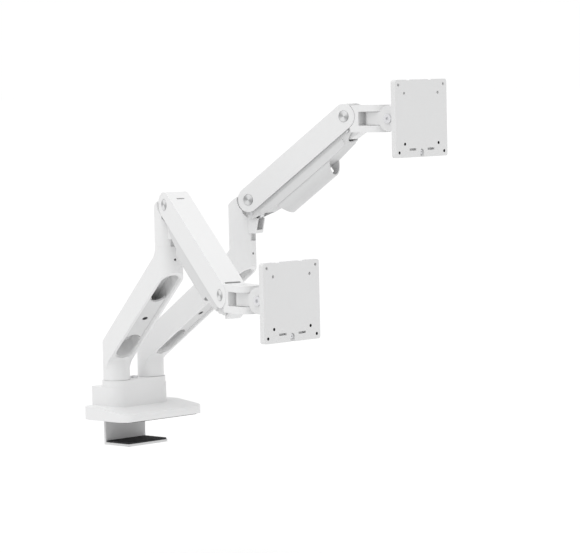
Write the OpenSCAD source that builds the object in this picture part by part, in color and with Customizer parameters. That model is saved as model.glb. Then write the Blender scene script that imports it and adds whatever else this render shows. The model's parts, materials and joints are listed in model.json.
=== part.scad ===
// Dual monitor arm on one desk clamp: two hollow lower links, two spring
// arms with parallel lower trays, and two quick-release monitor plates.
// +Z is up, -Y points at the user, the origin is on the desk top under the base.

/* [Base] */
// Width of the base plate
base_w = 172; // [150:1:200]
// Depth of the base plate
base_d = 108; // [100:1:120]
// Height of the base plate at its back edge
base_back_h = 21; // [18:0.5:24]
// Height of the base plate at its front edge
base_front_h = 13; // [11:0.5:16]
// Corner radius of the base plate
base_r = 21; // [12:1:26]
// Height of the seats that the two links turn on
seat_z = 61; // [56:1:66]
// Height of the lower deck behind the seats
deck_z = 51; // [46:1:54]
// Distance between the two post axes
post_gap = 74; // [70:1:80]
// Distance of the post axes behind the middle of the base
post_y = 19.5; // [18:0.5:24]

/* [Clamp] */
// Thickness of the desk that the clamp holds
desk_t = 37; // [12:0.5:45]
// Width of the clamp bracket
clamp_w = 86; // [60:1:90]
// Length of the clamp jaw
jaw_l = 57; // [35:1:60]

/* [Lower links] */
// Distance between the two axes of a lower link
link_l = 195; // [150:1:230]
// Diameter of the link's round ends
post_d = 42; // [40:1:46]
// Height of the seam between link and elbow
elbow_z = 281; // [260:1:300]
// Heading of the left link, 0 points at the user
left_link_a = -17; // [-60:1:10]
// Heading of the right link, 0 points at the user
right_link_a = 6; // [-10:1:60]

/* [Spring arms] */
// Distance between the two pivots of a spring arm
arm_l = 216; // [180:1:250]
// Width of the arm cover
arm_w = 37; // [36:1:38]
// Radius of the arm cover's round ends
arm_r = 19; // [18:0.5:20]
// Height of the main pivot
pivot_z = 345; // [342:1:350]
// Heading of the left spring arm
left_arm_a = -17; // [-60:1:10]
// Heading of the right spring arm
right_arm_a = 12; // [-10:1:60]
// Slope of the left spring arm
left_pitch = -36; // [-42:1:42]
// Slope of the right spring arm
right_pitch = 36; // [-42:1:42]

/* [Heads] */
// Distance from the arm's end pivot to the head's upright axis
head_out = 42; // [40:1:50]
// Side length of the monitor plate
plate_s = 115; // [112:1:120]
// Thickness of the monitor plate
plate_t = 8.5; // [7:0.5:10]
// Hole spacing of the larger monitor pattern
wide_pattern = 100; // [100]
// Hole spacing of the smaller monitor pattern
small_pattern = 75; // [75]
// Radius of the monitor screw holes
screw_hole_r = 2.3; // [2.2:0.05:2.6]

/* [Hidden] */
$fn = 64;

// Colours
white = "#f2f2f0";
light_grey = "#d9dadb";
steel = "#b9bcc0";
dark = "#3c3d40";
nylon = "#e6e3da";

// Sides and gaps
left = 0;
right = 1;
eps = 0.01;
gap = 0.3;
seam = 0.1;
run_gap = 0.05;
deep = 400;

// Base, derived
wall = 3;
seat_r = 23;
tower_w = post_gap + 2 * 24;
tower_front = post_y - seat_r;
tower_back = base_d / 2;
pad_t = 2;
frame_t = 4;
screw_r = 4;
frame_w = base_w - 12;
frame_d = base_d - 12;
slide_y = 42;
slide_t = 4;
jaw_z = -desk_t;
spindle_r = 10;
spindle_top = 90;

// Link, derived
post_r = post_d / 2;
under_slope = 36.4;
top_slope = 36.8;
under_z0 = seat_z + 21;
top_z0 = seat_z + 66.3;
pocket_s = 22;
pocket_l = (link_l - 9) / cos(under_slope);
pocket_r = 14;
set_screw_z = elbow_z - 20;

// Arm, derived
pivot_out = 24;
tray_dx = 3.4;
tray_dz = 22;
wall_t = 2.5;
inner_y = arm_w / 2 - wall_t;
lug_y = 11;
slot_y = 8;
rod_eye_w = 8.8;
pin_r = 6;
small_pin_r = 3;
tray_y = 14.5;
tray_t = 2;
tray_depth = 17;
skirt_y = 16.5;
sleeve_start = 47;
sleeve_l = 116;
rod_slope = 5;
gas_drop = -19.2;
gas_eye_x = 190;

// Head, derived, measured from the arm's end pivot
fork_top = 16.5;
fork_low = -24.5;
slot_top = 6.6;
slot_low = -14.2;
fork_y = 18.5;
tilt_x = 47;
tilt_z = -3.8;
ear_r = 19.2;
fork_tip = 8;
face_x = 96;

function link_a(side) = side == left ? left_link_a : right_link_a;
function arm_a(side) = side == left ? left_arm_a : right_arm_a;
function pitch(side) = side == left ? left_pitch : right_pitch;
function post_x(side) = side == left ? -post_gap / 2 : post_gap / 2;
function ahead(angle) = [sin(angle), -cos(angle), 0];
function post(side) = [post_x(side), post_y, 0];
function elbow(side) = post(side) + link_l * ahead(link_a(side));
function head_x(side) = pivot_out + arm_l * cos(pitch(side));
function head_z(side) = pivot_z + arm_l * sin(pitch(side));
function swivel(side) =
    elbow(side) + (head_x(side) + head_out) * ahead(arm_a(side)) + [0, 0, head_z(side)];
function under_z(s) = under_z0 + s * tan(under_slope);
function top_z(s) = top_z0 + s * tan(top_slope);

// ---- places: local +X runs ahead, local Y is sideways ----

module at_link(side) {
    translate(post(side)) rotate(link_a(side) - 90) children();
}

module at_elbow(side) {
    translate(elbow(side)) rotate(arm_a(side) - 90) children();
}

module at_arm(side) {
    at_elbow(side) translate([pivot_out, 0, pivot_z])
        rotate([0, -pitch(side), 0]) children();
}

module at_tray(side) {
    at_elbow(side) translate([pivot_out + tray_dx, 0, pivot_z - tray_dz])
        rotate([0, -pitch(side), 0]) children();
}

module at_head(side) {
    at_elbow(side) translate([head_x(side), 0, head_z(side)]) children();
}

module at_swivel(side) {
    translate(swivel(side)) rotate(-90) children();
}

// the sloping underside of a link, with +Z into the metal
module at_slope(side) {
    at_link(side) translate([pocket_s, 0, under_z(pocket_s)])
        rotate([0, -under_slope, 0]) children();
}

// ---- shared shapes ----

module rounded_rect(w, d, r) {
    for (x = [-1, 1], y = [-1, 1])
        translate([x * (w / 2 - r), y * (d / 2 - r)]) circle(r);
    square([w - 2 * r, d], center = true);
    square([w, d - 2 * r], center = true);
}

module across(width) {
    rotate([90, 0, 0]) linear_extrude(width, center = true) children();
}

module cross_bar(r, half) {
    rotate([90, 0, 0]) cylinder(r = r, h = 2 * half, center = true);
}

module both_sides(from, to) {
    for (s = [-1, 1])
        rotate([s * 90, 0, 0]) translate([0, 0, from]) linear_extrude(to - from)
            upright(s) children();
}

// keeps a side profile upright on both sides
module upright(s) {
    if (s > 0)
        children();
    else
        mirror([0, 1]) children();
}

module slot_2d(length, r) {
    circle(r);
    translate([length, 0]) circle(r);
    translate([0, -r]) square([length, 2 * r]);
}

// ---- base ----

module tower_2d(shrink) {
    front_r = 22 - shrink;
    back_r = 3;
    w = tower_w - 2 * shrink;
    y0 = tower_front + shrink;
    y1 = tower_back - shrink;
    for (x = [-1, 1]) {
        translate([x * (w / 2 - front_r), y0 + front_r]) circle(front_r);
        translate([x * (w / 2 - back_r), y1 - back_r]) circle(back_r);
    }
    translate([-w / 2 + front_r, y0]) square([w - 2 * front_r, y1 - y0]);
    translate([-w / 2, y0 + front_r]) square([w, y1 - y0 - front_r - back_r]);
    translate([-w / 2 + back_r, y0 + front_r]) square([w - 2 * back_r, y1 - y0 - front_r]);
}

module seats_2d(r) {
    translate([-post_gap / 2, post_y]) slot_2d(post_gap, r);
}

// Slopes the plate's top down to its front edge
module plate_wedge(lift) {
    rotate([90, 0, 90]) linear_extrude(base_w + 2, center = true)
        polygon([
            [-base_d / 2 - 1, 1], [base_d / 2 + 1, 1],
            [base_d / 2 + 1, base_back_h + lift], [10, base_back_h + lift],
            [-base_d / 2 - 1, base_front_h + lift]]);
}

// Cuts the lower edge of the plate back
module plate_undercut() {
    cut = 6;
    rotate([90, 0, 90]) linear_extrude(base_w + 2, center = true)
        polygon([
            [-base_d / 2 + 4, 1], [base_d / 2, 1], [base_d / 2, 40],
            [-base_d / 2, 40], [-base_d / 2, 1 + cut]]);
}

module clamp_void(extra) {
    // room for the clamp's slide and its nut block
    translate([-clamp_w / 2 - extra, slide_y - extra, -1])
        cube([clamp_w + 2 * extra, slide_t + 2 * extra, 50]);
    translate([-12 - extra, post_y - 9 - extra, -1])
        cube([24 + 2 * extra, slide_y - post_y + 10 + extra, 50]);
}

module base_cover() {
    color(white)
    difference() {
        union() {
            intersection() {
                translate([0, 0, 1]) linear_extrude(40) rounded_rect(base_w, base_d, base_r);
                plate_wedge(0);
                plate_undercut();
            }
            translate([0, 0, 12]) linear_extrude(deck_z - 12) tower_2d(0);
            translate([0, 0, deck_z - 1]) linear_extrude(seat_z - deck_z + 1)
                seats_2d(seat_r);
        }
        // hollow under the plate, for the frame
        translate([0, 0, -eps]) linear_extrude(pad_t + frame_t + gap)
            rounded_rect(frame_w + 1, frame_d + 1, base_r - 6);
        // hollow in the tower
        translate([0, 0, 3]) linear_extrude(deck_z - 3 - wall) tower_2d(wall);
        translate([0, 0, deck_z - 5]) linear_extrude(seat_z - deck_z + 5 - wall)
            seats_2d(seat_r - wall);
        for (side = [left, right])
            translate(post(side)) cylinder(r = spindle_r + gap, h = 100);
        // the clamp screw turns in the top, between the seats
        translate([0, post_y, 0]) cylinder(r = screw_r + run_gap, h = 100);
        for (x = [-1, 1], y = [-1, 1])
            translate([x * 72, y * 36, 0]) cylinder(r = 1.5, h = 11);
    }
}

module base_frame() {
    color(dark)
    difference() {
        translate([0, 0, pad_t]) linear_extrude(frame_t) rounded_rect(frame_w, frame_d, base_r - 6);
        clamp_void(0.5);
        for (side = [left, right])
            translate(post(side)) cylinder(r = 8 + eps, h = 20);
        for (x = [-1, 1], y = [-1, 1])
            translate([x * 72, y * 36, 0]) cylinder(r = 1.8, h = 11);
    }
}

module desk_pad() {
    // the pad ends in front of the clamp slide
    pad_back = slide_y - 2;
    color(dark)
    intersection() {
        linear_extrude(pad_t) rounded_rect(frame_w, frame_d, base_r - 6);
        translate([-base_w, -base_d, 0]) cube([2 * base_w, base_d + pad_back, pad_t]);
    }
}

module base_screws() {
    color(steel)
    for (x = [-1, 1], y = [-1, 1])
        translate([x * 72, y * 36, pad_t]) cylinder(r = 1.45, h = 8);
}

module base_spindles() {
    // steel stubs riveted to the frame, one under each link
    color(steel)
    for (side = [left, right])
        translate(post(side)) {
            translate([0, 0, pad_t]) cylinder(r = 8, h = frame_t + 1);
            translate([0, 0, pad_t + frame_t]) cylinder(r = 16, h = 4);
            cylinder_between(spindle_r, 9, spindle_top);
        }
}

module cylinder_between(r, z0, z1) {
    translate([0, 0, z0]) cylinder(r = r, h = z1 - z0);
}

// ---- clamp ----

module clamp_bracket() {
    plate_top = 21.5;
    color(light_grey) {
        difference() {
            union() {
                translate([-clamp_w / 2, slide_y, jaw_z - 6.5])
                    cube([clamp_w, slide_t, plate_top - jaw_z + 6.5]);
                translate([-clamp_w / 2, slide_y + slide_t - jaw_l, jaw_z - 6.5])
                    cube([clamp_w, jaw_l, 4]);
                // nut block on the clamp screw
                translate([-12, post_y - 9, plate_top - 10])
                    cube([24, slide_y - post_y + 10, 10]);
            }
            translate([0, post_y, 0]) cylinder(r = screw_r + gap, h = 40);
        }
    }
}

module jaw_pad() {
    color(dark)
    translate([-clamp_w / 2 + 1.5, slide_y + slide_t - jaw_l + 1.5, jaw_z - 2.5])
        cube([clamp_w - 3, jaw_l - slide_t - 2, 2.5]);
}

module clamp_screw() {
    screw_top = seat_z + 3;
    color(steel)
    translate([0, post_y, 0])
    difference() {
        union() {
            cylinder_between(screw_r, pad_t + gap, seat_z + 1);
            cylinder_between(6, seat_z + run_gap, screw_top);
        }
        translate([0, 0, screw_top - 3]) cylinder(r = 3.2, h = 4, $fn = 6);
    }
}

// ---- lower link ----

module link_band_2d(s0, s1) {
    polygon([
        [s0, under_z(s0)], [s1, under_z(s1)],
        [s1, top_z(s1)], [s0, top_z(s0)]]);
}

module lower_link(side) {
    color(white)
    difference() {
        at_link(side) {
            // sloping beam with round ends
            intersection() {
                linear_extrude(elbow_z - seam) slot_2d(link_l, post_r);
                across(post_d + 1) link_band_2d(-post_r - 1, link_l + post_r + 1);
            }
            // lower post, cut off by the beam's top
            intersection() {
                cylinder_between(post_r, seat_z + gap, 150);
                across(post_d + 1) polygon([
                    [-30, 0], [30, 0], [30, top_z(30)], [-30, top_z(-30)]]);
            }
            // upper post, cut off by the beam's underside
            intersection() {
                translate([link_l, 0, 0]) cylinder_between(post_r, 200, elbow_z - seam);
                across(post_d + 1) polygon([
                    [link_l - 30, under_z(link_l - 30)], [link_l + 30, under_z(link_l + 30)],
                    [link_l + 30, deep], [link_l - 30, deep]]);
            }
        }
        link_hollow(side);
        at_link(side) {
            cylinder_between(13 + eps, 0, spindle_top + 2);
            translate([link_l, 0, 0]) cylinder_between(13 + eps, 252, deep);
            // set screw at the front of the elbow
            translate([link_l + 12, 0, set_screw_z]) rotate([0, 90, 0]) cylinder(r = 2, h = 20);
        }
    }
}

// Cable channel in the underside, wider inside than at its mouth
module link_hollow(side) {
    inner_r = 17;
    difference() {
        at_slope(side) {
            translate([pocket_r, 0, -20]) linear_extrude(40)
                slot_2d(pocket_l - 2 * pocket_r, pocket_r);
            translate([inner_r, 0, 7]) linear_extrude(19)
                slot_2d(pocket_l - 2 * inner_r - 22, inner_r);
            // bevel round the mouth
            for (step = [0 : 2])
                translate([pocket_r, 0, -20]) linear_extrude(20.8 + step * 0.8)
                    slot_2d(pocket_l - 2 * pocket_r, pocket_r + 2.6 - step * 0.9);
        }
        // pillar that the cable cover is screwed to
        at_slope(side) translate([108, 0, 6.5]) cylinder(r = 5, h = 30);
    }
    at_slope(side) translate([108, 0, 0]) cylinder(r = 2.02, h = 18);
}

module link_bush(side) {
    color(nylon)
    at_link(side)
    difference() {
        cylinder_between(13, seat_z + gap, spindle_top + 1);
        cylinder(r = spindle_r + run_gap, h = deep);
    }
}

module cable_cover(side) {
    cover_x0 = 51;
    cover_x1 = 166;
    cover_r = pocket_r - gap;
    color(light_grey)
    at_slope(side)
    difference() {
        translate([cover_x0, -cover_r, 3]) cube([cover_x1 - cover_x0, 2 * cover_r, 3.5]);
        // a round notch at each end, with two small hooks left
        for (x = [cover_x0, cover_x1])
            translate([x, 0, 0]) cylinder(r = 10.5, h = 10);
        for (x = [cover_x0 + 3, cover_x1 - 3], y = [-1, 1])
            translate([x, y * 10.6, 0]) cylinder(r = 1.6, h = 10);
        translate([108, 0, 0]) cylinder(r = 2.6, h = 10);
        translate([108, 0, 2.9]) cylinder(r = 4.5, h = 2.1);
    }
}

module cover_screw(side) {
    color(dark)
    at_slope(side) translate([108, 0, 3.4])
    difference() {
        union() {
            cylinder(r = 4.1, h = 1.6);
            cylinder(r = 2, h = 13);
        }
        translate([0, 0, -1]) cylinder(r = 1.4, h = 2, $fn = 6);
    }
}

module elbow_bush(side) {
    color(nylon)
    at_link(side) translate([link_l, 0, 0])
    difference() {
        cylinder_between(13, 252 + gap, elbow_z - seam);
        cylinder(r = spindle_r + run_gap, h = deep);
    }
}

module set_screw(side) {
    color(dark)
    at_link(side) translate([link_l + 13.2, 0, set_screw_z]) rotate([0, 90, 0])
    difference() {
        cylinder(r = 1.95, h = 6);
        translate([0, 0, 4]) cylinder(r = 1, h = 3, $fn = 6);
    }
}

// ---- elbow ----

module knuckle_side_2d() {
    polygon([
        [-post_r - 1, elbow_z], [post_r + 1, elbow_z], [post_r + 1, 312],
        [12, 324], [12, 353], [9.9, 353], [-post_r - 1, 332.7]]);
}

module lug_2d() {
    translate([pivot_out, pivot_z]) circle(11);
    translate([pivot_out + tray_dx, pivot_z - tray_dz]) circle(7.5);
    polygon([
        [0, 310], [pivot_out + 4, 313], [pivot_out + tray_dx + 7.4, pivot_z - tray_dz + 1],
        [pivot_out + 10.9, pivot_z - 1], [pivot_out, pivot_z + 3], [0, pivot_z + 3]]);
}

module knuckle(side) {
    nose_y = 10.5;
    color(white)
    at_elbow(side)
    difference() {
        union() {
            difference() {
                intersection() {
                    cylinder(r = post_r, h = deep);
                    across(post_d + 1) knuckle_side_2d();
                }
                // room for the arm's round end and for the tray's
                translate([pivot_out, 0, pivot_z]) cross_bar(arm_r + 1, 30);
                translate([pivot_out + tray_dx, 0, pivot_z - tray_dz]) cross_bar(10.6, 30);
            }
            across(2 * lug_y) lug_2d();
            // nose under the lug
            across(2 * nose_y) polygon([
                [10, 292.5], [30, 292.5], [31.6, 294], [36, 316], [10, 318]]);
        }
        // slot for the gas spring's rod
        translate([9, -slot_y, 298]) cube([60, 2 * slot_y, 60]);
        translate([pivot_out, 0, pivot_z]) cross_bar(pin_r + run_gap, 30);
        translate([pivot_out + tray_dx, 0, pivot_z - tray_dz])
            cross_bar(small_pin_r + run_gap, 30);
        // stop notch at the seam
        translate([15, -6.5, elbow_z - 1]) cube([10, 13, 12.4]);
        cylinder_between(spindle_r + eps, elbow_z - 1, 295);
    }
}

module elbow_spindle(side) {
    color(steel)
    at_elbow(side) cylinder_between(spindle_r, 253, 294);
}

// ---- spring arm ----

module arm_outline_2d(r) {
    slot_2d(arm_l, r);
}

module arm_cover(side) {
    crown = arm_r - wall_t;
    reach = 9.5;
    color(white)
    at_arm(side)
    difference() {
        across(arm_w) arm_outline_2d(arm_r);
        // hollow, open below and at both ends
        across(2 * inner_y) arm_outline_2d(crown);
        translate([-50, -inner_y, -50]) cube([arm_l + 100, 2 * inner_y, 50]);
        for (x = [-50 - reach, arm_l + reach])
            translate([x, -inner_y, -50]) cube([50, 2 * inner_y, 100]);
        for (x = [0, arm_l])
            translate([x, 0, 0]) {
                cross_bar(pin_r + eps, 40);
                for (s = [-1, 1])
                    translate([0, s * (arm_w / 2 + 8.8), 0]) cross_bar(8.5 + gap, 10);
            }
        translate([gas_eye_x, 0, gas_z(gas_eye_x)]) cross_bar(small_pin_r + eps, 17.2);
        // tension scale window and end slot in the top
        translate([9, -6.5, 0]) cube([2.6, 13, 40]);
        translate([arm_l - 6.5, -13, 0]) cube([3.2, 26, 40]);
    }
}

function gas_z(x) = gas_drop + x * tan(rod_slope);

module main_pins(side) {
    color(steel)
    at_arm(side)
    for (x = [0, arm_l])
        translate([x, 0, 0]) cross_bar(pin_r, arm_w / 2 - 1.3);
}

module pivot_caps(side) {
    color(steel)
    at_arm(side)
    for (x = [0, arm_l], s = [-1, 1])
        translate([x, s * (arm_w / 2 - 0.3), 0]) cross_bar(8.5, 0.85);
}

module gas_cylinder(side) {
    tube_r = 9;
    color(dark)
    at_arm(side)
    difference() {
        union() {
            translate([0, 0, gas_z(0)]) rotate([0, 90 - rod_slope, 0]) {
                cylinder_between(tube_r, 72, 176);
                cylinder_between(4.5, 175, 188);
            }
            translate([gas_eye_x, 0, gas_z(gas_eye_x)]) cross_bar(6.5, 5);
        }
        translate([gas_eye_x, 0, gas_z(gas_eye_x)]) cross_bar(small_pin_r + run_gap, 20);
        translate([0, 0, gas_z(0)]) rotate([0, 90 - rod_slope, 0])
            cylinder_between(4 + run_gap, 60, 168);
    }
}

module gas_pin(side) {
    color(steel)
    at_arm(side) translate([gas_eye_x, 0, gas_z(gas_eye_x)]) cross_bar(small_pin_r, 17);
}

// Distance that the rod's eye stands along the spring's line at this slope
function rod_at(side) = tray_dx * cos(pitch(side)) - tray_dz * sin(pitch(side));

module gas_rod(side) {
    eye_x = rod_at(side);
    color(steel)
    at_arm(side) translate([0, 0, gas_z(0)]) rotate([0, -rod_slope, 0])
    difference() {
        union() {
            rotate([0, 90, 0]) cylinder_between(4, eye_x + 5, 125);
            translate([eye_x, 0, 0]) intersection() {
                cube([18, rod_eye_w, 19], center = true);
                cross_bar(10, 10);
            }
        }
        // long eye, which leaves the pivot free
        translate([eye_x, 0, 0]) across(20) rotate(90) translate([-3.2, 0])
            slot_2d(6.4, small_pin_r + 1);
    }
}

// ---- tray under the spring arm ----

// Side of the tray: round ends and a deeper belly between them
module tray_side_2d() {
    circle(7.5);
    translate([arm_l, 0]) circle(7.5);
    polygon([
        [0, 4], [arm_l, 4], [arm_l + 5, -5.5], [arm_l, -7.5], [arm_l - 8, -13],
        [arm_l - 50, -tray_depth], [46, -tray_depth], [18, -12], [0, -7.5], [-5, -5.5]]);
}

// Wider lower band along each side of the tray
module tray_band_2d() {
    polygon([
        [16, -5], [arm_l - 14, -5], [arm_l - 14, -13.7], [arm_l - 50, -tray_depth],
        [46, -tray_depth], [16, -11.7]]);
}

module tray_floor_2d() {
    polygon([
        [20, -12.4], [46, -tray_depth], [arm_l - 50, -tray_depth], [arm_l - 8, -13],
        [arm_l - 8, -13 + tray_t], [arm_l - 50, -tray_depth + tray_t],
        [46, -tray_depth + tray_t], [20, -12.4 + tray_t]]);
}

module arm_tray(side) {
    notch_r = 20;
    color(white)
    at_tray(side)
    difference() {
        union() {
            both_sides(tray_y - tray_t, tray_y) tray_side_2d();
            both_sides(tray_y - eps, skirt_y) tray_band_2d();
            across(2 * tray_y - 1) tray_floor_2d();
        }
        // arched front edge of the floor, clear of the head
        intersection() {
            translate([arm_l + 8.5, 0, -20]) cylinder(r = notch_r, h = 20);
            across(2 * (tray_y - tray_t)) translate([arm_l - 40, -20]) square([60, 40]);
        }
        cross_bar(small_pin_r + eps, 30);
        translate([arm_l, 0, 0]) cross_bar(small_pin_r + 0.35, 30);
        // the top edge stays clear of the main pivots
        for (x = [0, arm_l])
            translate([x, 0, 12]) across(60) square([44, 20], center = true);
    }
}

module tray_pin(side) {
    color(steel)
    at_tray(side) {
        cross_bar(small_pin_r, 15.2);
    }
}

// U section of the cable sleeve, hanging from the tray's floor
module sleeve_2d(r) {
    straight = 5;
    translate([0, -straight]) circle(r);
    translate([-r, -straight]) square([2 * r, straight]);
}

module cable_sleeve(side) {
    outer_r = 15.5;
    slit = 9;
    tab = 12;
    end_slant = 13;
    end_h = 22;
    color(light_grey)
    at_tray(side) translate([sleeve_start, 0, -tray_depth])
    difference() {
        rotate([90, 0, 90])
        difference() {
            linear_extrude(sleeve_l) sleeve_2d(outer_r);
            difference() {
                translate([0, 0, -1]) linear_extrude(sleeve_l + 2) sleeve_2d(outer_r - 2);
                // tabs that fasten the closed side to the tray
                for (x = [end_slant + 2, sleeve_l - tab - end_slant - 2])
                    translate([-outer_r, -2, x]) cube([6, 2, tab]);
            }
            translate([-30, 0, -1]) cube([60, 60, sleeve_l + 2]);
            // slit that the cables go in through
            translate([0, -slit, end_slant + 4]) cube([60, 60, sleeve_l - 2 * end_slant - 8]);
        }
        // both ends slant inwards
        across(60) polygon([[-1, 1], [0, 0], [end_slant - 4, -end_h], [-1, -end_h]]);
        across(60) polygon([
            [sleeve_l + 1, 1], [sleeve_l, 0], [sleeve_l - end_slant, -end_h],
            [sleeve_l + 1, -end_h]]);
    }
}

// ---- head ----

module head_fork(side) {
    color(white)
    at_head(side)
    difference() {
        union() {
            difference() {
                translate([0, 0, fork_low]) linear_extrude(fork_top - fork_low) {
                    translate([0, -fork_y]) square([head_out + fork_tip, 2 * fork_y]);
                    translate([head_out + fork_tip, 0]) circle(fork_y);
                }
                // room for the arm's and the tray's round ends
                cross_bar(arm_r + 0.7, 30);
                translate([tray_dx, 0, -tray_dz]) cross_bar(8.3, 30);
                translate([-20, -30, -60]) cube([20 + tray_dx + 1, 60, 100]);
                // slot for the swivel block
                translate([26, -30, slot_low]) cube([60, 60, slot_top - slot_low]);
            }
            across(2 * lug_y) fork_lug_2d();
        }
        translate([26, -30, slot_low]) cube([60, 60, slot_top - slot_low]);
        cross_bar(pin_r + run_gap, 30);
        translate([tray_dx, 0, -tray_dz]) cross_bar(small_pin_r + eps, 30);
        translate([head_out, 0, 0]) cylinder_between(5 + eps, -50, 50);
    }
}

module fork_lug_2d() {
    chin_r = 13.2;
    circle(11);
    translate([tray_dx, -tray_dz]) circle(7.5);
    polygon([
        [-10.9, -1], [tray_dx - 7.4, -tray_dz], [tray_dx, -tray_dz], [26, fork_low],
        [26, 2], [10.8, 2]]);
    // round chin that stands in the front end of the tray
    intersection() {
        translate([tray_dx, -tray_dz]) circle(chin_r);
        polygon([
            [tray_dx - 1, -tray_dz], [tray_dx - 5.2, -50], [12, -50], [26, fork_low],
            [26, -tray_dz]]);
    }
    polygon([[tray_dx, -tray_dz - chin_r + 0.2], [tray_dx + 6, -tray_dz - chin_r + 1.4],
        [24, fork_low], [tray_dx, fork_low]]);
}

module fork_pin(side) {
    color(steel)
    at_head(side) translate([tray_dx, 0, -tray_dz]) cross_bar(small_pin_r, 15.2);
}

module swivel_pin(side) {
    color(steel)
    at_head(side) translate([head_out, 0, 0])
        cylinder_between(5, fork_low + 0.5, fork_top - 0.5);
}

module swivel_block(side) {
    half = 12;
    z0 = slot_low + 0.4;
    h = slot_top - slot_low - 0.8;
    color(light_grey)
    at_swivel(side)
    difference() {
        union() {
            translate([0, 0, z0]) cylinder(r = half, h = h);
            translate([0, -half, z0]) cube([tilt_x - 8, 2 * half, h]);
            translate([tilt_x, 0, tilt_z]) cross_bar(13, half);
        }
        cylinder_between(5 + run_gap, -50, 50);
        translate([tilt_x, 0, tilt_z]) cross_bar(4 + run_gap, 30);
    }
}

module tilt_bracket(side) {
    ear_in = 12.4;
    ear_out = 20;
    web_x = 75;
    color(light_grey)
    at_swivel(side)
    difference() {
        union() {
            both_sides(ear_in, ear_out) {
                translate([tilt_x, tilt_z]) circle(ear_r);
                translate([tilt_x, tilt_z - 16]) square([web_x - tilt_x, 32]);
            }
            translate([web_x, -22, tilt_z - 20]) cube([4, 44, 40]);
        }
        translate([tilt_x, 0, tilt_z]) cross_bar(4 + eps, 30);
        translate([web_x - 1, 0, tilt_z]) rotate([0, 90, 0]) cylinder(r = 8 + run_gap, h = 10);
    }
}

module tilt_bolt(side) {
    color(steel)
    at_swivel(side) translate([tilt_x, 0, tilt_z])
    difference() {
        union() {
            cross_bar(4, 21);
            for (s = [-1, 1])
                translate([0, s * 21, 0]) cross_bar(7, 0.95);
        }
        for (s = [-1, 1])
            translate([0, s * 22, 0]) rotate([90, 0, 0])
                cylinder(r = 3, h = 5, center = true, $fn = 6);
    }
}

// Turns with the plate on the bracket's web
module turn_hub(side) {
    color(dark)
    at_swivel(side) translate([0, 0, tilt_z]) rotate([0, 90, 0]) {
        cylinder_between(8, 72, 80);
        cylinder_between(24, 79 + gap, face_x - plate_t);
        cylinder_between(11, 70.5, 75 - gap);
    }
}

module monitor_plate(side) {
    notch_r = 4.5;
    slot_w = 15;
    color(light_grey)
    at_swivel(side) translate([face_x - plate_t, 0, tilt_z])
    rotate([90, 0, 90])
    difference() {
        linear_extrude(plate_t) rounded_rect(plate_s, plate_s, 4);
        for (step = [wide_pattern, small_pattern], x = [-1, 1], y = [-1, 1])
            translate([x * step / 2, y * step / 2, -1])
                cylinder(r = screw_hole_r, h = plate_t + 2);
        // shallow steps along the top edge
        for (x = [-1, 1])
            translate([x * 24 - 8, plate_s / 2 - 1, -1]) cube([16, 2, plate_t + 2]);
        // slots for the quick-release tongues
        for (x = [-1, 1])
            translate([x * 20 - slot_w / 2, -47.5, 3]) cube([slot_w, 3.2, plate_t]);
        // arched notch for the release screw
        translate([0, -50, 3.5]) cylinder(r = notch_r, h = plate_t);
        translate([-notch_r, -plate_s, 3.5]) cube([2 * notch_r, plate_s - 50, plate_t]);
        translate([0, -50, -1]) cylinder(r = 1.5 + eps, h = plate_t);
    }
}

module release_screw(side) {
    color(steel)
    at_swivel(side) translate([face_x - plate_t, 0, tilt_z - 50]) rotate([0, 90, 0])
    difference() {
        union() {
            cylinder_between(1.5, 0.5, 5);
            cylinder_between(3.2, 3.5, 6.5);
        }
        translate([0, 0, 5]) cylinder(r = 1.3, h = 4, $fn = 6);
    }
}

base_cover();
base_frame();
desk_pad();
base_screws();
base_spindles();
clamp_bracket();
jaw_pad();
clamp_screw();
lower_link(left);  // left_lower_link
link_bush(left);  // left_link_bush
cable_cover(left);  // left_cable_cover
cover_screw(left);  // left_cover_screw
elbow_bush(left);  // left_elbow_bush
set_screw(left);  // left_set_screw
knuckle(left);  // left_knuckle
elbow_spindle(left);  // left_elbow_spindle
arm_cover(left);  // left_arm_cover
main_pins(left);  // left_main_pins
pivot_caps(left);  // left_pivot_caps
gas_cylinder(left);  // left_gas_cylinder
gas_pin(left);  // left_gas_pin
gas_rod(left);  // left_gas_rod
arm_tray(left);  // left_arm_tray
tray_pin(left);  // left_tray_pin
cable_sleeve(left);  // left_cable_sleeve
head_fork(left);  // left_head_fork
fork_pin(left);  // left_fork_pin
swivel_pin(left);  // left_swivel_pin
swivel_block(left);  // left_swivel_block
tilt_bracket(left);  // left_tilt_bracket
tilt_bolt(left);  // left_tilt_bolt
turn_hub(left);  // left_turn_hub
monitor_plate(left);  // left_monitor_plate
release_screw(left);  // left_release_screw
lower_link(right);  // right_lower_link
link_bush(right);  // right_link_bush
cable_cover(right);  // right_cable_cover
cover_screw(right);  // right_cover_screw
elbow_bush(right);  // right_elbow_bush
set_screw(right);  // right_set_screw
knuckle(right);  // right_knuckle
elbow_spindle(right);  // right_elbow_spindle
arm_cover(right);  // right_arm_cover
main_pins(right);  // right_main_pins
pivot_caps(right);  // right_pivot_caps
gas_cylinder(right);  // right_gas_cylinder
gas_pin(right);  // right_gas_pin
gas_rod(right);  // right_gas_rod
arm_tray(right);  // right_arm_tray
tray_pin(right);  // right_tray_pin
cable_sleeve(right);  // right_cable_sleeve
head_fork(right);  // right_head_fork
fork_pin(right);  // right_fork_pin
swivel_pin(right);  // right_swivel_pin
swivel_block(right);  // right_swivel_block
tilt_bracket(right);  // right_tilt_bracket
tilt_bolt(right);  // right_tilt_bolt
turn_hub(right);  // right_turn_hub
monitor_plate(right);  // right_monitor_plate
release_screw(right);  // right_release_screw
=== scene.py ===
import json
import math

import bmesh
import bpy
from mathutils import Matrix, Vector


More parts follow.
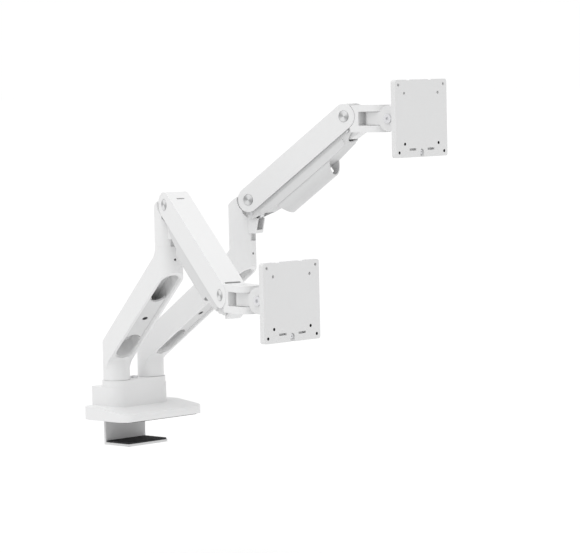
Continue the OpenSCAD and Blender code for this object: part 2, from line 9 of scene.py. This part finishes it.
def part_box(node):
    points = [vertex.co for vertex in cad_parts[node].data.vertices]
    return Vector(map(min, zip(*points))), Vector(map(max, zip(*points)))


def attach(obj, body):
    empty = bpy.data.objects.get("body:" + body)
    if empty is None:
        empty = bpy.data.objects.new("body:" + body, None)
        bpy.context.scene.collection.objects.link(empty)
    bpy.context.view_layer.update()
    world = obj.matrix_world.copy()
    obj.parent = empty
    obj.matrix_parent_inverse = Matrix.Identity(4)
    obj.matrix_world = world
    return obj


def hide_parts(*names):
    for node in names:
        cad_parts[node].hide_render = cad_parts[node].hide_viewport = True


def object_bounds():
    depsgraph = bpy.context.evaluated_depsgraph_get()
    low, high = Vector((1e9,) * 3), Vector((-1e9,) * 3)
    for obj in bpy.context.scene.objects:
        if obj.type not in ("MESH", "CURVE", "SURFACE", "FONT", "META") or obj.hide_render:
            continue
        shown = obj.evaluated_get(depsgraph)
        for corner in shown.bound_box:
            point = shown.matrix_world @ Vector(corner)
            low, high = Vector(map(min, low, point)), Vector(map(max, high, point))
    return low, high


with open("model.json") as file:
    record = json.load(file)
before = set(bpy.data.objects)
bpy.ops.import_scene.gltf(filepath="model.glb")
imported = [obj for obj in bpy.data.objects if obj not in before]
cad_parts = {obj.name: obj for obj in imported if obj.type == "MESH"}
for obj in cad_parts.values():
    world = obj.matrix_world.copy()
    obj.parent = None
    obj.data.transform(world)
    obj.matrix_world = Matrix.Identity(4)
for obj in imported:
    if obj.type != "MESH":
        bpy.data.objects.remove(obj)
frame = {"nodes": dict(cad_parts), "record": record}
cad_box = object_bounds()
NODES = frame["nodes"]
BODIES = frame["record"]["behaviour"]["bodies"]
SLOTS = {s["node"]: s["material_slot"] for s in frame["record"]["subparts"]}
MM = 0.001
SIDES = ("left", "right")
# edges that turn by more than this are sharp
SHARP = math.radians(24)
# heights on the base cover: above the tower's foot, and above the plate's lower rim
TOWER_FOOT_Z = 24.0
PLATE_LOW_Z = 10.0
# from the middle of a spring arm to the face that its caps sit on
CAP_FACE_MM = 18.4
# direction of the painted reflection on the pivot caps, its dark and light fans, in degrees
PAINTED_SHINE_TURN = 20
# half of each square screw pattern of a monitor plate, and how far a hole reaches
HOLE_PATTERN_HALVES = (37.5, 50.0)
HOLE_REACH = 3.5
# faces of a link's beam: slope in degrees and height at the foot's axis
UNDER_SLOPE, UNDER_MM = 36.4, 21.0
TOP_SLOPE, TOP_MM = 36.8, 66.3
# round end of the channel in the link's underside, from the foot's axis
CHANNEL_START, CHANNEL_R = 21.2, 14.8


# ---- materials ----

def value_between(tree, source, low, high):
    """A Map Range node that turns source (0..1) into low..high."""
    node = tree.nodes.new("ShaderNodeMapRange")
    node.inputs["To Min"].default_value = low
    node.inputs["To Max"].default_value = high
    tree.links.new(source, node.inputs["Value"])
    return node.outputs["Result"]


def noise(tree, scale, detail=3.0, rough=0.55):
    coord = tree.nodes.new("ShaderNodeTexCoord")
    node = tree.nodes.new("ShaderNodeTexNoise")
    node.inputs["Scale"].default_value = scale
    node.inputs["Detail"].default_value = detail
    node.inputs["Roughness"].default_value = rough
    tree.links.new(coord.outputs["Object"], node.inputs["Vector"])
    return node.outputs["Fac"]


def bump(tree, height, strength, distance):
    node = tree.nodes.new("ShaderNodeBump")
    node.inputs["Strength"].default_value = strength
    node.inputs["Distance"].default_value = distance
    tree.links.new(height, node.inputs["Height"])
    return node.outputs["Normal"]


def mix_colours(tree, factor, dark, light):
    node = tree.nodes.new("ShaderNodeMix")
    node.data_type = "RGBA"
    node.inputs["A"].default_value = (*dark, 1)
    node.inputs["B"].default_value = (*light, 1)
    tree.links.new(factor, node.inputs["Factor"])
    return node.outputs["Result"]


def new_material(name, metallic, specular, coat=0.0):
    m = bpy.data.materials.new(name)
    m.use_nodes = True
    shader = m.node_tree.nodes["Principled BSDF"]
    shader.inputs["Metallic"].default_value = metallic
    shader.inputs["Specular IOR Level"].default_value = specular
    shader.inputs["Coat Weight"].default_value = coat
    shader.inputs["Coat Roughness"].default_value = 0.35
    return m, m.node_tree, shader


def powder_coat(name, colour, tint):
    """Fine orange-peel paint, with a very slight wide variation."""
    m, tree, shader = new_material(name, 0.0, 0.42, coat=0.12)
    broad = noise(tree, 9, 2)
    fine = noise(tree, 900, 2, 0.6)
    tree.links.new(mix_colours(tree, broad, tint, colour), shader.inputs["Base Color"])
    tree.links.new(value_between(tree, noise(tree, 60), 0.38, 0.50), shader.inputs["Roughness"])
    tree.links.new(bump(tree, fine, 0.12, 0.00012), shader.inputs["Normal"])
    return m


def moulded(name, colour, tint, rough=(0.5, 0.62), grain=0.3):
    """Plastic from a fine-grained mould."""
    m, tree, shader = new_material(name, 0.0, 0.4)
    tree.links.new(mix_colours(tree, noise(tree, 14), tint, colour), shader.inputs["Base Color"])
    tree.links.new(value_between(tree, noise(tree, 90), *rough), shader.inputs["Roughness"])
    tree.links.new(bump(tree, noise(tree, 1400, 3), grain, 0.0001), shader.inputs["Normal"])
    return m


def rubber(name):
    """Dark rubber with a cellular grain."""
    m, tree, shader = new_material(name, 0.0, 0.3)
    cells = tree.nodes.new("ShaderNodeTexVoronoi")
    cells.inputs["Scale"].default_value = 900
    coord = tree.nodes.new("ShaderNodeTexCoord")
    tree.links.new(coord.outputs["Object"], cells.inputs["Vector"])
    tone = mix_colours(tree, noise(tree, 120, 4), (0.018, 0.018, 0.02), (0.045, 0.045, 0.048))
    tree.links.new(tone, shader.inputs["Base Color"])
    tree.links.new(value_between(tree, noise(tree, 200), 0.7, 0.88), shader.inputs["Roughness"])
    tree.links.new(bump(tree, cells.outputs["Distance"], 0.5, 0.0003), shader.inputs["Normal"])
    return m


def metal(name, colour, tint, rough, stretch=(1, 1, 30), strength=0.12):
    """Ground or turned metal: noise drawn out into fine lines."""
    m, tree, shader = new_material(name, 1.0, 0.5)
    coord = tree.nodes.new("ShaderNodeTexCoord")
    mapping = tree.nodes.new("ShaderNodeMapping")
    mapping.inputs["Scale"].default_value = stretch
    lines = tree.nodes.new("ShaderNodeTexNoise")
    lines.inputs["Scale"].default_value = 160
    lines.inputs["Detail"].default_value = 4
    tree.links.new(coord.outputs["Object"], mapping.inputs["Vector"])
    tree.links.new(mapping.outputs["Vector"], lines.inputs["Vector"])
    fac = lines.outputs["Fac"]
    tree.links.new(mix_colours(tree, fac, tint, colour), shader.inputs["Base Color"])
    tree.links.new(value_between(tree, fac, *rough), shader.inputs["Roughness"])
    tree.links.new(bump(tree, fac, strength, 0.0001), shader.inputs["Normal"])
    return m


def painted_shine_cap(name):
    """Pale turned metal with a painted reflection: its colour is light and dark in two opposite
    fans, standing in for the shine a lathe-turned face gives.
    """
    m, tree, shader = new_material(name, 0.35, 0.5)
    coord = tree.nodes.new("ShaderNodeTexCoord")
    turn = tree.nodes.new("ShaderNodeMapping")
    turn.inputs["Rotation"].default_value = (0, 0, math.radians(PAINTED_SHINE_TURN))
    # angle round the cap's axis, which sets the painted reflection fans
    painted_fan = tree.nodes.new("ShaderNodeTexGradient")
    painted_fan.gradient_type = "RADIAL"
    quarter_turn = 0.25
    wave = tree.nodes.new("ShaderNodeMath")
    wave.operation = "PINGPONG"
    wave.inputs[1].default_value = quarter_turn
    tree.links.new(coord.outputs["Object"], turn.inputs["Vector"])
    tree.links.new(turn.outputs["Vector"], painted_fan.inputs["Vector"])
    tree.links.new(painted_fan.outputs["Fac"], wave.inputs[0])
    spread = tree.nodes.new("ShaderNodeMapRange")
    spread.interpolation_type = "SMOOTHSTEP"
    spread.inputs["From Max"].default_value = 0.2
    tree.links.new(wave.outputs["Value"], spread.inputs["Value"])
    # painted reflection: the base colour goes from dark to light in fans round the cap, where a
    # turned face would shine
    tone = mix_colours(tree, spread.outputs["Result"], (0.34, 0.342, 0.345), (0.70, 0.702, 0.705))
    tree.links.new(tone, shader.inputs["Base Color"])
    rings = tree.nodes.new("ShaderNodeTexWave")
    rings.wave_type = "RINGS"
    rings.rings_direction = "Z"
    rings.inputs["Scale"].default_value = 700
    tree.links.new(coord.outputs["Object"], rings.inputs["Vector"])
    tree.links.new(bump(tree, rings.outputs["Fac"], 0.2, 0.00005), shader.inputs["Normal"])
    tree.links.new(value_between(tree, rings.outputs["Fac"], 0.3, 0.42), shader.inputs["Roughness"])
    return m


MATERIALS = {
    # the caps' material has a painted reflection in two fans in its colour
    "painted_shine_cap": painted_shine_cap("painted_shine_cap"),
    "white_paint": powder_coat("white_paint", (0.760, 0.761, 0.762), (0.742, 0.743, 0.745)),
    "grey_paint": powder_coat("grey_paint", (0.71, 0.711, 0.712), (0.68, 0.681, 0.683)),
    "grey_plastic": moulded("grey_plastic", (0.665, 0.667, 0.668), (0.62, 0.622, 0.625)),
    "dark_rubber": rubber("dark_rubber"),
    "black_steel": metal("black_steel", (0.07, 0.07, 0.075), (0.03, 0.03, 0.033), (0.35, 0.5)),
    "steel": metal("steel", (0.74, 0.74, 0.75), (0.62, 0.62, 0.63), (0.25, 0.4)),
    "brushed_metal": metal("brushed_metal", (0.80, 0.80, 0.81), (0.62, 0.62, 0.64), (0.2, 0.34)),
    "nylon": moulded("nylon", (0.78, 0.76, 0.70), (0.70, 0.68, 0.62), (0.4, 0.52), 0.2),
}


# ---- pieces ----

def body_of(node):
    return next(body for body, members in BODIES.items() if node in members)


def linked_object(name, data):
    """A new object in the scene, made of a mesh, a light or a camera."""
    obj = bpy.data.objects.new(name, data)
    bpy.context.scene.collection.objects.link(obj)
    return obj


def mesh_from(bm, name):
    """Turns a finished bmesh into a mesh."""
    mesh = bpy.data.meshes.new(name)
    bm.to_mesh(mesh)
    bm.free()
    return mesh


def clean_copy(node, name):
    """The node's shape as a mesh whose flat faces are whole again."""
    mesh = NODES[node].data.copy()
    piece = linked_object(name, mesh)
    bm = bmesh.new()
    bm.from_mesh(mesh)
    same_place = 0.00002
    same_plane = math.radians(0.6)
    bmesh.ops.remove_doubles(bm, verts=bm.verts, dist=same_place)
    bmesh.ops.dissolve_limit(bm, angle_limit=same_plane, verts=bm.verts, edges=bm.edges)
    bm.normal_update()
    bm.to_mesh(mesh)
    bm.free()
    return piece


def mark_edges(piece, width_at, widest):
    """Gives every sharp edge its share of the widest rounding, from the edge's place."""
    bm = bmesh.new()
    bm.from_mesh(piece.data)
    share = bm.edges.layers.float.new("bevel_weight_edge")
    for edge in bm.edges:
        if len(edge.link_faces) != 2 or edge.calc_face_angle(0) < SHARP:
            continue
        middle = (edge.verts[0].co + edge.verts[1].co) / 2
        concave = not edge.is_convex
        edge[share] = min(1.0, width_at(middle / MM, concave) / widest)
    bm.to_mesh(piece.data)
    bm.free()


def soften(piece, width_at, widest, segments=3):
    """Rounds the sharp edges of a piece. width_at gives the width in mm."""
    for polygon in piece.data.polygons:
        polygon.use_smooth = True
    mark_edges(piece, width_at, widest)
    edge = piece.modifiers.new("edge", "BEVEL")
    edge.width = widest * MM
    edge.segments = segments
    edge.limit_method = "WEIGHT"
    edge.miter_outer = "MITER_ARC"
    edge.harden_normals = True
    weighted = piece.modifiers.new("normals", "WEIGHTED_NORMAL")
    weighted.keep_sharp = True


def finish_piece(piece, node, material=None):
    slot = SLOTS[node]
    piece.data.materials.clear()
    piece.data.materials.append(MATERIALS[material or slot])
    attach(piece, body_of(node))
    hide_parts(node)


def soft_piece(node, width_at, widest, segments=3, material=None):
    piece = clean_copy(node, node + "_soft")
    soften(piece, width_at, widest, segments)
    finish_piece(piece, node, material)
    return piece


def even(width):
    """The same rounding on every edge."""
    return lambda place, concave: width


def base_cover_edge(place, concave):
    """Widest where the tower meets the plate, then the plate's top rim."""
    foot_fillet, tower_rim, plate_rim, low_rim = 4.0, 1.5, 3.2, 0.8
    if concave:
        return foot_fillet
    if place.z > TOWER_FOOT_Z:
        return tower_rim
    if place.z > PLATE_LOW_Z:
        return plate_rim
    return low_rim


def link_edge(side):
    """Wide rounding on the outside of a link, narrow at the seams and the channel."""
    foot = joint_place(side + "_base_swivel")
    elbow = joint_place(side + "_elbow_swivel")
    run = (elbow - foot).xy
    outer_reach = 19.5
    seam_reach = 1.0
    elbow_seam, foot_seam, channel_rim, inside_corner, outer_rim = 0.12, 0.5, 0.6, 5.0, 2.4

    def width_at(place, concave):
        if abs(place.z - elbow.z) < seam_reach:
            return elbow_seam
        if abs(place.z - foot.z) < seam_reach:
            return foot_seam
        along = max(0.0, min(1.0, (place - foot).xy.dot(run) / run.length_squared))
        out = ((place - foot).xy - run * along).length
        if out < outer_reach:
            return channel_rim
        return inside_corner if concave else outer_rim

    return width_at


def knuckle_edge(side):
    """Crisp at the elbow's seam, soft above it."""
    seam_z = joint_place(side + "_elbow_swivel").z
    seam_reach = 1.0
    return lambda place, concave: 0.12 if place.z < seam_z + seam_reach else 0.9


def jaw_edge(node, corner):
    """Rounds the two front corners of the jaw in plan, and everything else slightly."""
    low, high = (Vector(v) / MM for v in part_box(node))
    near = 2.0
    plain = 0.5

    def width_at(place, concave):
        aside = min(place.x - low.x, high.x - place.x)
        return corner if aside < near and place.y - low.y < near else plain

    return width_at


def plate_edge(node):
    """Soft outline, crisp holes."""
    low, high = (Vector(v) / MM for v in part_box(node))
    rim_reach = 1.0
    outline, hole = 0.7, 0.15

    def width_at(place, concave):
        to_rim = min(place.x - low.x, high.x - place.x, place.z - low.z, high.z - place.z)
        return outline if to_rim < rim_reach else hole

    return width_at


def darken_low_holes(piece, node):
    """Dark walls in the four lower screw holes of a monitor plate."""
    low, high = (Vector(v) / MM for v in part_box(node))
    middle = (low + high) / 2
    piece.data.materials.append(MATERIALS["dark_rubber"])
    for polygon in piece.data.polygons:
        place = polygon.center / MM - middle
        for half in HOLE_PATTERN_HALVES:
            across = math.hypot(abs(place.x) - half, place.z + half)
            faces_inward = abs(polygon.normal.y) < 0.3
            if across < HOLE_REACH and faces_inward:
                polygon.material_index = 1


def joint_named(name):
    return next(j for j in frame["record"]["behaviour"]["joints"] if j["name"] == name)


def joint_place(name):
    """Where a joint turns, in mm."""
    return Vector(joint_named(name)["pos_m"]) / MM


def lathe(name, profile, steps=64):
    """A turned mesh about local Z. profile is [(radius, height)] in mm, from the axis out."""
    bm = bmesh.new()
    rings = []
    for radius, height in profile:
        if radius == 0:
            rings.append([bm.verts.new((0, 0, height * MM))])
            continue
        turn = 2 * math.pi / steps
        rings.append([
            bm.verts.new((
                radius * MM * math.cos(i * turn), radius * MM * math.sin(i * turn),
                height * MM))
            for i in range(steps)])
    for inner, outer in zip(rings, rings[1:]):
        for i in range(steps):
            j = (i + 1) % steps
            corners = [ring[k % len(ring)] for ring, k in (
                (inner, i), (outer, i), (outer, j), (inner, j))]
            bm.faces.new(list(dict.fromkeys(corners)))
    bmesh.ops.recalc_face_normals(bm, faces=bm.faces)
    mesh = mesh_from(bm, name)
    for polygon in mesh.polygons:
        polygon.use_smooth = True
    return linked_object(name, mesh)


def add_caps(side):
    """The four turned caps on the pivots of a spring arm, two on each flank."""
    node = side + "_pivot_caps"
    axis = Vector(joint_named(side + "_lift")["axis"]).normalized()
    # the cap's face, a little higher in the middle, then its rounded rim and its side
    profile = [(0, 0.18), (2.2, 0.2), (7.3, 0.55), (8.0, 0.5), (8.4, 0.1), (8.4, -0.5), (0, -0.5)]
    for pivot in ("lift", "head_level"):
        centre = joint_place(f"{side}_{pivot}") * MM
        for sign, flank in ((1, "near"), (-1, "far")):
            piece = lathe(f"{side}_{pivot}_cap_{flank}", profile)
            outward = axis * sign
            piece.matrix_world = (
                Matrix.Translation(centre + outward * CAP_FACE_MM * MM)
                @ outward.to_track_quat("Z", "Y").to_matrix().to_4x4())
            # each cap gets the material whose colour holds its painted fan-shaped reflection
            finish_piece(piece, node, "painted_shine_cap")


class LinkCorner:
    """The hollow corner between a post of a link and the slope of its beam.

    Local +X leaves the post along the beam, local +Z leads into the beam's metal.
    """
    POST_R = 21.0
    BALL_R = 9.0
    # half of the beam's width, a little short of its flank
    SIDE_Y = 20.9
    # how far round the post the corner runs to each side
    HALF_TURN = math.radians(88)
    TURNS = 40
    STEPS = 10
    # the arc stands this far into both faces, and its inner point lies deeper in the metal
    OVERLAP = 0.03
    DEEP_IN_POST = 2
    DEEP_IN_BEAM = 3

    def __init__(self, axis_xy, ahead, up, slope_deg, height):
        x_axis = ahead.to_3d().normalized()
        z_axis = Vector((0, 0, up))
        y_axis = z_axis.cross(x_axis)
        turn = Matrix((x_axis, y_axis, z_axis)).transposed().to_4x4()
        self.place = Matrix.Translation(axis_xy.to_3d() * MM) @ turn
        self.slope = math.radians(slope_deg)
        self.height = height

    def section(self, angle):
        """One slice in mm: the arc of a rolled ball, closed by a point inside the metal."""
        away = Vector((math.cos(angle), math.sin(angle), 0))
        into = Vector((-math.sin(self.slope), 0, math.cos(self.slope)))
        reach = self.POST_R + self.BALL_R
        ball = away * reach
        ball.z = (self.height + ball.x * math.tan(self.slope)
                  - self.BALL_R / math.cos(self.slope))
        turn = (-away).angle(into)
        arc = []
        for step in range(self.STEPS + 1):
            part = step / self.STEPS
            toward = (math.sin((1 - part) * turn) * -away + math.sin(part * turn) * into)
            arc.append(ball + toward / math.sin(turn) * (self.BALL_R + self.OVERLAP))
        inside = away * (self.POST_R - self.DEEP_IN_POST)
        inside.z = self.height + inside.x * math.tan(self.slope) + self.DEEP_IN_BEAM
        return arc + [inside]

    def build(self, name):
        """The whole corner as a closed mesh, cut off level with the beam's flanks."""
        bm = bmesh.new()
        angles = [self.HALF_TURN * (2 * i / self.TURNS - 1) for i in range(self.TURNS + 1)]
        slices = [[bm.verts.new(point * MM) for point in self.section(a)] for a in angles]
        for low, high in zip(slices, slices[1:]):
            for i in range(len(low)):
                j = (i + 1) % len(low)
                bm.faces.new((low[i], low[j], high[j], high[i]))
        bm.faces.new(slices[0])
        bm.faces.new(list(reversed(slices[-1])))
        for sign in (1, -1):
            cut = bmesh.ops.bisect_plane(
                bm, geom=bm.verts[:] + bm.edges[:] + bm.faces[:],
                plane_co=(0, sign * self.SIDE_Y * MM, 0), plane_no=(0, sign, 0),
                clear_outer=True)
            rim = [e for e in cut["geom_cut"] if isinstance(e, bmesh.types.BMEdge)]
            bmesh.ops.holes_fill(bm, edges=rim)
        bmesh.ops.recalc_face_normals(bm, faces=bm.faces)
        piece = linked_object(name, mesh_from(bm, name))
        piece.matrix_world = self.place
        return piece

    def channel_end(self):
        """The round end of the cable channel, as a block to cut with."""
        radius, length = CHANNEL_R * MM, 60 * MM
        bm = bmesh.new()
        bmesh.ops.create_cone(
            bm, cap_ends=True, segments=96, radius1=radius, radius2=radius, depth=length)
        block = linked_object("channel_end", mesh_from(bm, "channel_end"))
        centre = Vector((
            CHANNEL_START, 0, self.height + CHANNEL_START * math.tan(self.slope)))
        centre += Vector((math.cos(self.slope), 0, math.sin(self.slope))) * CHANNEL_R
        tilt = Matrix.Rotation(-self.slope, 4, "Y")
        block.matrix_world = self.place @ Matrix.Translation(centre * MM) @ tilt
        return block


def cut_away(piece, block):
    """Takes the block out of the piece, then removes the block."""
    trim = piece.modifiers.new("trim", "BOOLEAN")
    trim.operation = "DIFFERENCE"
    trim.solver = "EXACT"
    trim.object = block
    result = piece.evaluated_get(bpy.context.evaluated_depsgraph_get())
    mesh = bpy.data.meshes.new_from_object(result)
    piece.modifiers.clear()
    piece.data = mesh
    bpy.data.objects.remove(block)


def smooth_by_angle(piece):
    """Shades a piece smooth, apart from its sharp edges."""
    bm = bmesh.new()
    bm.from_mesh(piece.data)
    for face in bm.faces:
        face.smooth = True
    for edge in bm.edges:
        edge.smooth = edge.calc_face_angle(0) < SHARP
    bm.to_mesh(piece.data)
    bm.free()


def add_link_corners(side):
    """Soft corners under the beam at the lower post and over it at the upper post."""
    node = side + "_lower_link"
    foot = joint_place(side + "_base_swivel")
    elbow = joint_place(side + "_elbow_swivel")
    run = (elbow - foot).xy
    lower = LinkCorner(foot.xy, run, 1, UNDER_SLOPE, foot.z + UNDER_MM)
    upper_z = foot.z + TOP_MM + run.length * math.tan(math.radians(TOP_SLOPE))
    upper = LinkCorner(elbow.xy, -run, -1, TOP_SLOPE, -upper_z)
    low_piece = lower.build(side + "_corner_low")
    high_piece = upper.build(side + "_corner_high")
    cut_away(low_piece, lower.channel_end())
    for piece in (low_piece, high_piece):
        smooth_by_angle(piece)
        finish_piece(piece, node)


for node, obj in NODES.items():
    obj.data.materials.clear()
    obj.data.materials.append(MATERIALS[SLOTS[node]])

# rounding of the plainer parts of each arm
EDGE_MM = {
    "arm_cover": 0.8, "cable_sleeve": 0.5, "cable_cover": 0.3,
    "head_fork": 1.0, "swivel_block": 0.6, "tilt_bracket": 0.8,
}
soft_piece("base_cover", base_cover_edge, 4.0, 4)
soft_piece("clamp_bracket", jaw_edge("clamp_bracket", 4.0), 4.0, 5)
soft_piece("jaw_pad", jaw_edge("jaw_pad", 2.5), 2.5, 4)
for side in SIDES:
    soft_piece(side + "_lower_link", link_edge(side), 5.0, 4)
    soft_piece(side + "_knuckle", knuckle_edge(side), 0.9)
    plate = side + "_monitor_plate"
    darken_low_holes(soft_piece(plate, plate_edge(plate), 0.7), plate)
    soft_piece(side + "_arm_tray", even(0.4), 0.4, material="grey_plastic")
    for part, width in EDGE_MM.items():
        soft_piece(f"{side}_{part}", even(width), width)
    add_caps(side)
    add_link_corners(side)


# ---- studio ----

def add_floor():
    """A wide white floor below the clamp."""
    low = cad_box[0][2]
    mesh = bpy.data.meshes.new("floor")
    size, drop = 60.0, 0.2
    corners = [(-size, -size), (size, -size), (size, size), (-size, size)]
    mesh.from_pydata([(x, y, low - drop) for x, y in corners], [], [(0, 1, 2, 3)])
    floor = linked_object("floor", mesh)
    m, _, shader = new_material("floor", 0.0, 0.0)
    shader.inputs["Base Color"].default_value = (0.42, 0.42, 0.42, 1)
    shader.inputs["Roughness"].default_value = 0.9
    shader.inputs["Emission Color"].default_value = (1, 1, 1, 1)
    shader.inputs["Emission Strength"].default_value = 0.54
    mesh.materials.append(m)


def add_sun(name, toward, strength, spread):
    """A broad soft light, the same over the whole floor. toward is the way it shines."""
    data = bpy.data.lights.new(name, "SUN")
    data.energy = strength
    data.angle = math.radians(spread)
    lamp = linked_object(name, data)
    lamp.rotation_euler = Vector(toward).to_track_quat("-Z", "Y").to_euler()


def add_world(horizon, zenith):
    """A pale studio that is brightest at the horizon."""
    world = bpy.data.worlds.new("studio")
    bpy.context.scene.world = world
    world.use_nodes = True
    tree = world.node_tree
    coord = tree.nodes.new("ShaderNodeTexCoord")
    split = tree.nodes.new("ShaderNodeSeparateXYZ")
    height = tree.nodes.new("ShaderNodeMapRange")
    height.inputs["From Min"].default_value = 0.05
    height.inputs["From Max"].default_value = 0.55
    height.inputs["To Min"].default_value = horizon
    height.inputs["To Max"].default_value = zenith
    tree.links.new(coord.outputs["Generated"], split.inputs["Vector"])
    tree.links.new(split.outputs["Z"], height.inputs["Value"])
    background = tree.nodes["Background"]
    background.inputs["Color"].default_value = (1, 1, 1, 1)
    tree.links.new(height.outputs["Result"], background.inputs["Strength"])


def add_camera():
    """A long lens from the front left, a little above the desk."""
    yaw, pitch, roll = (math.radians(v) for v in (45.89, 4.02, -1.27))
    distance = 4.745
    side_shift, forward_shift, height = 0.2366, -0.0015, 0.2175
    view = Vector((
        math.sin(yaw) * math.cos(pitch), math.cos(yaw) * math.cos(pitch), -math.sin(pitch)))
    flat_right = Vector((math.cos(yaw), -math.sin(yaw), 0))
    flat_up = flat_right.cross(view)
    right = math.cos(roll) * flat_right + math.sin(roll) * flat_up
    up = math.cos(roll) * flat_up - math.sin(roll) * flat_right
    target = flat_right * side_shift + Vector((0, forward_shift, height))
    place = target - view * distance
    data = bpy.data.cameras.new("camera")
    data.sensor_width = 36
    data.lens = 186.2069
    data.clip_end = 100
    camera = linked_object("camera", data)
    axes = Matrix((right, up, -view)).transposed().to_4x4()
    camera.matrix_world = Matrix.Translation(place) @ axes
    bpy.context.scene.camera = camera


add_floor()
add_sun("key", (0.34, 0.06, -1.0), 1.5, 70)
add_world(1.005, 0.72)
add_camera()
scene = bpy.context.scene
scene.view_settings.view_transform = "Standard"
